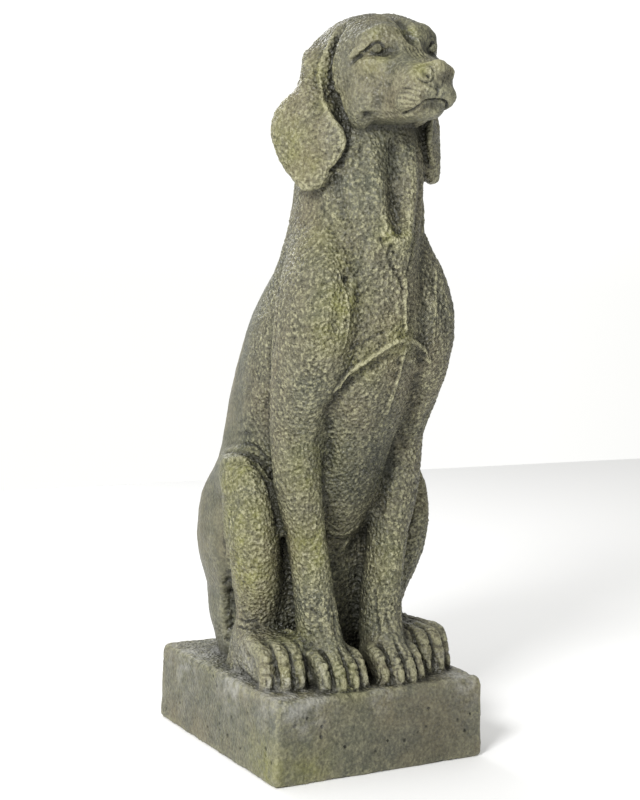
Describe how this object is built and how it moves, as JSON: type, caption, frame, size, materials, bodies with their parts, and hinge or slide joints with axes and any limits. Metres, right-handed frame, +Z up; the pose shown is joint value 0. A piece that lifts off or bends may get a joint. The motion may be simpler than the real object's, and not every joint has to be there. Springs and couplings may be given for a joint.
{
  "type": "dog garden statue",
  "caption": "Garden statue of a hound seated upright on a low rectangular plinth, muzzle raised and long ears hanging, cast in one piece.",
  "frame": {"origin": "centre of the plinth's underside", "axes": "+Z up, -Y the way the dog faces, -X the dog's right"},
  "size_m": [0.2488, 0.3562, 0.7712],
  "materials": {
    "dog_statue": "matt mossy grey-green stain, dry-brushed lighter on the high points, dark in the hollows"
  },
  "bodies": {
    "root": {"dog_statue": "dog_statue"}
  },
  "joints": []
}
